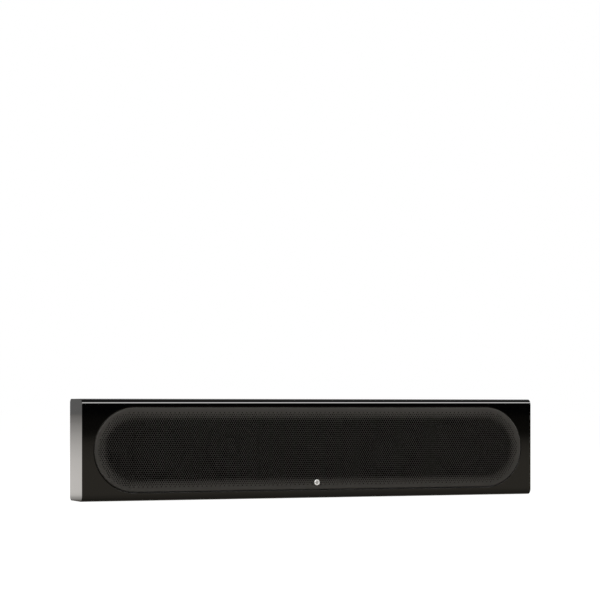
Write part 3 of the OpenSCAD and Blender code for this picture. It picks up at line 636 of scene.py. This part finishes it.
def soft_rubber():
    """Dark moulded rubber, darkened further as painted shade."""
    material, tree, shader = finish_of("soft_rubber", (0.001, 0.001, 0.001), 0.8)
    shader.inputs["Specular IOR Level"].default_value = 0.01
    raise_grain(tree, shader, grain(tree, 2000, 2), 0.15, 0.00005)
    return material


dress(painted_board(), "baffle")
# Pegs and cones: black plastic, darkened further as painted shade behind the grille.
dress(moulded_plastic("peg_plastic", (0.001, 0.001, 0.001), 0.7, shine=0.01), "grille_pegs")
dress(soft_rubber(), "peg_sockets", *pair("woofer_surround", "radiator_surround"))
dress(cast_alloy(), *pair("woofer_basket", "radiator_frame"))
cone_plastic = moulded_plastic("cone_plastic", (0.0011, 0.0011, 0.0012), 0.7, 1200, 0.01)
dress(cone_plastic, *pair("woofer_cone", "radiator_cone", "woofer_dust_cap"))


# Motors: zinc plated steel plates and yokes, dull ferrite rings, enamelled copper coils, and the
# resin-stiffened cloth of the spiders.
def zinc_plate():
    """Bright zinc with faint brushing."""
    material, tree, shader = finish_of("zinc_plate", (0.4, 0.41, 0.42), 0.32, 1.0)
    marks = grain(tree, 260, 3, (1, 1, 12))
    tree.links.new(spread(tree, marks, 0.25, 0.42), shader.inputs["Roughness"])
    raise_grain(tree, shader, marks, 0.08, 0.00005)
    return material


def ferrite_ring():
    """Dull dark ceramic."""
    material, tree, shader = finish_of("ferrite_ring", (0.05, 0.05, 0.054), 0.7)
    raise_grain(tree, shader, grain(tree, 1400, 4), 0.2, 0.0001)
    return material


def copper_winding():
    """Enamelled wire wound round the Y axis: fine ridges."""
    material, tree, shader = finish_of("copper_winding", (0.55, 0.2, 0.08), 0.3, 1.0)
    place = tree.nodes.new("ShaderNodeTexCoord")
    turns = tree.nodes.new("ShaderNodeTexWave")
    turns.bands_direction = "Y"
    turns.inputs["Scale"].default_value = 900
    tree.links.new(place.outputs["Object"], turns.inputs["Vector"])
    raise_grain(tree, shader, turns.outputs["Fac"], 0.5, 0.0001)
    return material


def cloth(name, colour, scale):
    """Plain weave: the sum of a wave along X and one along Z, each of 2 pi / (20 scale) metres."""
    material, tree, shader = finish_of(name, colour, 0.85)
    shader.inputs["Specular IOR Level"].default_value = 0.02
    place = tree.nodes.new("ShaderNodeTexCoord")
    total = tree.nodes.new("ShaderNodeMath")
    for index, direction in enumerate(("X", "Z")):
        thread = tree.nodes.new("ShaderNodeTexWave")
        thread.bands_direction = direction
        thread.inputs["Scale"].default_value = scale
        tree.links.new(place.outputs["Object"], thread.inputs["Vector"])
        tree.links.new(thread.outputs["Fac"], total.inputs[index])
    raise_grain(tree, shader, total.outputs["Value"], 0.4, 0.0001)
    return material


zinc = zinc_plate()
copper = copper_winding()
dress(zinc, "tweeter_top_plate", "tweeter_yoke")
dress(zinc, *pair("woofer_top_plate", "woofer_yoke", "radiator_weight"))
dress(ferrite_ring(), "tweeter_magnet", *pair("woofer_magnet"))
dress(copper, "tweeter_coil", *pair("woofer_coil"))
dress(cloth("spider_cloth", (0.35, 0.24, 0.1), 400), *pair("woofer_spider"))
# The tweeter's faceplate and dome: black, darkened further as painted shade behind the grille.
dress(moulded_plastic("faceplate_plastic", (0.001, 0.001, 0.001), 0.7, shine=0.01), "tweeter_faceplate")
dress(cloth("dome_cloth", (0.001, 0.001, 0.001), 900), "tweeter_dome")


# Inside the back: the crossover is a green laminate board, screwed to the rear panel, with wound
# copper coils, film capacitors and ceramic resistors. Pads of pale wadding lie beside it.
def grained(name, colour, roughness, scale, detail, strength):
    """A plain finish with a grain of 0.1 mm times strength."""
    material, tree, shader = finish_of(name, colour, roughness)
    raise_grain(tree, shader, grain(tree, scale, detail), strength, 0.0001)
    return material


dress(grained("board_laminate", (0.02, 0.09, 0.04), 0.35, 700, 1, 0.1), "crossover_board")
dress(zinc, "board_screws")
dress(copper, "inductors")
dress(grained("capacitor_film", (0.5, 0.33, 0.04), 0.25, 300, 1, 0.1), "capacitors")
dress(grained("resistor_ceramic", (0.6, 0.58, 0.52), 0.8, 2500, 3, 0.4), "resistors")
dress(cloth("wadding", (0.7, 0.7, 0.68), 250), "damping_pads")

# The rear panel and the terminal cup are moulded in spark-textured black plastic. All wood and panel
# screws, the drivers' too, are oxidised black. The keyhole plates are stamped and zinc plated, the
# bracket inserts and the posts with their nuts gold plated brass.
panel_plastic = moulded_plastic("panel_plastic", (0.016, 0.016, 0.016), 0.55, 2200)
dress(panel_plastic, "rear_panel", "terminal_cup")


def black_oxide():
    """Oxidised steel; its colour is darkened further as painted shade, for the drivers' screws behind the
    grille.
    """
    material, tree, shader = finish_of("black_oxide", (0.002, 0.002, 0.0022), 0.5)
    shader.inputs["Specular IOR Level"].default_value = 0.02
    raise_grain(tree, shader, grain(tree, 3000, 2), 0.1, 0.00005)
    return material


def gold_plate():
    """Gold plated brass with the ridges of a 0.7 mm thread along Y.

    A wave texture repeats every 2 pi / (20 scale) metres.
    """
    material, tree, shader = finish_of("gold_plate", (0.85, 0.6, 0.25), 0.22, 1.0)
    place = tree.nodes.new("ShaderNodeTexCoord")
    thread = tree.nodes.new("ShaderNodeTexWave")
    thread.bands_direction = "Y"
    thread.inputs["Scale"].default_value = 449
    tree.links.new(place.outputs["Object"], thread.inputs["Vector"])
    raise_grain(tree, shader, thread.outputs["Fac"], 0.6, 0.0002)
    return material


dress(black_oxide(), "rear_screws", "driver_screws", "tweeter_screws")
dress(zinc, "keyhole_plates")
dress(gold_plate(), "post_red", "post_black", "post_nuts", "bracket_inserts")

# The screw caps are moulded plastic, one red and one black, with fluted grips. Each turns on the
# thread of its binding post.
dress(moulded_plastic("cap_red", (0.4, 0.012, 0.01), 0.3, 1500), "post_cap_red")
dress(moulded_plastic("cap_black", (0.012, 0.012, 0.012), 0.3, 1500), "post_cap_black")

# The stage: a pale floor that the cabinet rests on, a white surround, and soft lamps. To the camera
# floor and surround are white. Gloss sees the studio: a painted reflection of the floor, bright behind
# and dim in front, with the cabinet's contact shadow painted in, a dark room, and one long strip light.
foot_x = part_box("end_cap_right")[1].x
foot_mid = (front_y + back_y) / 2
foot_half = (back_y - front_y) / 2
floor_drop = 0.0001
camera_lift = 0.9
floor_grey = 0.8
seen_grey = 0.17
room_stops = (
    (0, 0.012), (27.8, 0.012), (28.8, 11), (48, 11), (50, 0.3), (60, 0.06), (86, 0.02), (97, 0.06),
    (105, 0.35), (115, 0.7), (130, 0.6), (180, 0.37))
strip_tilt = 56
level_x = 0.311
tilt_x = (0.2, 0.6)
# Painted reflection and painted contact shadow of the floor, as gloss sees them, by distance in metres from
# the footprint.
painted_sheen_behind = ((0.8, 1.9), (2.2, 1.75), (2.8, 1.63), (5.2, 1.3), (9.1, 0.96), (17, 0.65), (40, 0.38))
painted_shadow_behind = (
    (0, 0.02), (0.0054, 0.2), (0.023, 0.35), (0.055, 0.51), (0.088, 0.58), (0.123, 0.71), (0.158, 0.86),
    (0.193, 0.93), (0.3, 1))
painted_sheen_ahead = (
    (1.6, 0.45), (2.8, 0.41), (3.9, 0.35), (4.65, 0.3), (5.6, 0.22), (6.15, 0.158), (6.8, 0.107),
    (8.4, 0.058), (14, 0.05), (28, 0.037), (40, 0.02))
painted_shadow_ahead = ((0, 0.7), (0.003, 0.7), (0.02, 0.8), (0.3, 1))
tint_behind = (1.04, 1, 0.955)
tint_ahead = (1.1, 1, 0.83)
grid_steps = (
    0, 0.0025, 0.0055, 0.01, 0.023, 0.038, 0.055, 0.072, 0.088, 0.123, 0.158, 0.193, 0.24, 0.3, 0.5, 0.8,
    1.2, 1.6, 2.2, 2.8, 3.4, 3.9, 4.65, 5.2, 5.6, 6.15, 6.8, 8.4, 9.4, 14, 17, 22, 28, 40)


def painted_floor_sheen(x, y):
    """What gloss sees of the floor, as a colour, from the distance to the cabinet's footprint.

    Each list of (metres, value) is a line through its points. Behind and ahead, the painted sheen is
    multiplied by the painted contact shadow and the tint. Beside the cabinet the two blend by angle.
    """
    dx = np.maximum(np.abs(x) - foot_x, 0)
    dy = np.sign(y - foot_mid) * np.maximum(np.abs(y - foot_mid) - foot_half, 0)
    reach = np.hypot(dx, dy)
    turn = np.clip(dy / np.maximum(reach, 1e-6) + 0.5, 0, 1)
    behind = np.interp(reach, *zip(*painted_sheen_behind)) * np.interp(reach, *zip(*painted_shadow_behind))
    ahead = np.interp(reach, *zip(*painted_sheen_ahead)) * np.interp(reach, *zip(*painted_shadow_ahead))
    ahead, behind, turn = ahead[:, None], behind[:, None], turn[:, None]
    return ahead * tint_ahead * (1 - turn) + behind * tint_behind * turn


def floor_paint():
    """Pale floor: diffuse for light, white with a soft shadow for the camera, its painted reflection for
    gloss.
    """
    material = bpy.data.materials.new("floor_paint")
    material.use_nodes = True
    tree = material.node_tree
    tree.nodes.remove(tree.nodes["Principled BSDF"])
    diffuse = tree.nodes.new("ShaderNodeBsdfDiffuse")
    lift = tree.nodes.new("ShaderNodeEmission")
    path = tree.nodes.new("ShaderNodeLightPath")
    strength = tree.nodes.new("ShaderNodeMath")
    strength.operation = "MULTIPLY"
    strength.inputs[1].default_value = camera_lift
    grey = tree.nodes.new("ShaderNodeMapRange")
    grey.inputs["To Min"].default_value = floor_grey
    grey.inputs["To Max"].default_value = seen_grey
    total = tree.nodes.new("ShaderNodeAddShader")
    sheen = tree.nodes.new("ShaderNodeAttribute")
    sheen.attribute_name = "sheen"
    seen = tree.nodes.new("ShaderNodeEmission")
    choice = tree.nodes.new("ShaderNodeMixShader")
    tree.links.new(path.outputs["Is Camera Ray"], strength.inputs[0])
    tree.links.new(path.outputs["Is Camera Ray"], grey.inputs["Value"])
    tree.links.new(grey.outputs["Result"], diffuse.inputs["Color"])
    tree.links.new(strength.outputs["Value"], lift.inputs["Strength"])
    tree.links.new(diffuse.outputs["BSDF"], total.inputs[0])
    tree.links.new(lift.outputs["Emission"], total.inputs[1])
    tree.links.new(sheen.outputs["Color"], seen.inputs["Color"])
    tree.links.new(path.outputs["Is Glossy Ray"], choice.inputs["Fac"])
    tree.links.new(total.outputs["Shader"], choice.inputs[1])
    tree.links.new(seen.outputs["Emission"], choice.inputs[2])
    tree.links.new(choice.outputs["Shader"], tree.nodes["Material Output"].inputs["Surface"])
    return material


def floor_mesh():
    """A level grid at the cabinet's foot whose lines stand closest beside the footprint."""
    steps = np.array(grid_steps)
    xs = np.concatenate([-foot_x - steps[::-1], [-foot_x / 2, 0, foot_x / 2], foot_x + steps])
    ys = np.concatenate([foot_mid - foot_half - steps[::-1], [foot_mid], foot_mid + foot_half + steps])
    x, y = [g.ravel() for g in np.meshgrid(xs, ys)]
    data = bpy.data.meshes.new("floor")
    data.from_pydata(
        np.stack([x, y, np.full(len(x), -half_high - floor_drop)], 1).tolist(), [],
        bands(0, len(ys), len(xs), wrap=False).tolist())
    # Each point carries the floor's painted reflection and painted contact shadow as its sheen colour.
    sheen = np.ones((len(x), 4))
    sheen[:, :3] = painted_floor_sheen(x, y)
    data.attributes.new("sheen", "FLOAT_COLOR", "POINT").data.foreach_set("color", sheen.ravel())
    data.materials.append(floor_paint())
    return data


floor = bpy.data.objects.new("floor", floor_mesh())
bpy.context.scene.collection.objects.link(floor)


def studio():
    """White to the camera, even for diffuse light, and a room of bands along X for gloss.

    room_stops holds the brightness by place, in degrees. A place is the angle from straight ahead over
    the top to straight behind, atan2(|z|, -y), less strip_tilt times x - level_x, with x held within
    tilt_x, so that the strip light slants a little.
    """
    world = bpy.data.worlds.new("studio")
    world.use_nodes = True
    tree = world.node_tree
    tree.nodes.clear()
    out = tree.nodes.new("ShaderNodeOutputWorld")
    white, even, room = [tree.nodes.new("ShaderNodeBackground") for _ in range(3)]
    white.inputs["Color"].default_value = (1, 1, 1, 1)
    even.inputs["Color"].default_value = (1, 0.99, 0.96, 1)
    even.inputs["Strength"].default_value = 0.6
    direction = tree.nodes.new("ShaderNodeTexCoord")
    split = tree.nodes.new("ShaderNodeSeparateXYZ")
    lift = tree.nodes.new("ShaderNodeMath")
    lift.operation = "ABSOLUTE"
    flip = tree.nodes.new("ShaderNodeMath")
    flip.operation = "MULTIPLY"
    flip.inputs[1].default_value = -1
    angle = tree.nodes.new("ShaderNodeMath")
    angle.operation = "ARCTAN2"
    tilt = tree.nodes.new("ShaderNodeMapRange")
    tilt.inputs["From Min"].default_value = tilt_x[0]
    tilt.inputs["From Max"].default_value = tilt_x[1]
    tilt.inputs["To Min"].default_value = (level_x - tilt_x[0]) * strip_tilt / 180
    tilt.inputs["To Max"].default_value = (level_x - tilt_x[1]) * strip_tilt / 180
    share = tree.nodes.new("ShaderNodeMath")
    share.operation = "MULTIPLY_ADD"
    share.inputs[1].default_value = 1 / math.pi
    ramp = tree.nodes.new("ShaderNodeValToRGB")
    top = max(v for _, v in room_stops)
    stops = ramp.color_ramp.elements
    while len(stops) < len(room_stops):
        stops.new(0.5)
    for stop, (place, value) in zip(stops, room_stops):
        stop.position = place / 180
        stop.color = (value / top, value / top * 0.99, value / top * 0.97, 1)
    room.inputs["Strength"].default_value = top
    ray = tree.nodes.new("ShaderNodeLightPath")
    gloss, seen = [tree.nodes.new("ShaderNodeMixShader") for _ in range(2)]
    links = (
        (direction.outputs["Generated"], split.inputs["Vector"]), (split.outputs["Y"], flip.inputs[0]),
        (split.outputs["Z"], lift.inputs[0]), (split.outputs["X"], tilt.inputs["Value"]),
        (lift.outputs["Value"], angle.inputs[0]), (flip.outputs["Value"], angle.inputs[1]),
        (angle.outputs["Value"], share.inputs[0]), (tilt.outputs["Result"], share.inputs[2]),
        (share.outputs["Value"], ramp.inputs["Fac"]), (ramp.outputs["Color"], room.inputs["Color"]),
        (ray.outputs["Is Glossy Ray"], gloss.inputs["Fac"]),
        (even.outputs["Background"], gloss.inputs[1]), (room.outputs["Background"], gloss.inputs[2]),
        (ray.outputs["Is Camera Ray"], seen.inputs["Fac"]), (gloss.outputs["Shader"], seen.inputs[1]),
        (white.outputs["Background"], seen.inputs[2]), (seen.outputs["Shader"], out.inputs["Surface"]))
    for start, end in links:
        tree.links.new(start, end)
    return world


bpy.context.scene.world = studio()


def lamp(name, place, size, power):
    """A soft lamp of size (width, height) at place, facing the cabinet and unseen in gloss."""
    data = bpy.data.lights.new(name, "AREA")
    data.shape = "RECTANGLE"
    data.size, data.size_y = size
    data.energy = power
    light = bpy.data.objects.new(name, data)
    light.location = place
    light.rotation_euler = Vector(place).to_track_quat("Z", "Y").to_euler()
    light.visible_glossy = False
    bpy.context.scene.collection.objects.link(light)


lamp("front_soft", place=(0.6, -2.4, 2.2), size=(3.0, 1.2), power=60)
lamp("rear_soft", place=(-0.8, 2.2, 2.4), size=(3.0, 1.2), power=40)

bpy.context.scene.view_settings.view_transform = "Standard"
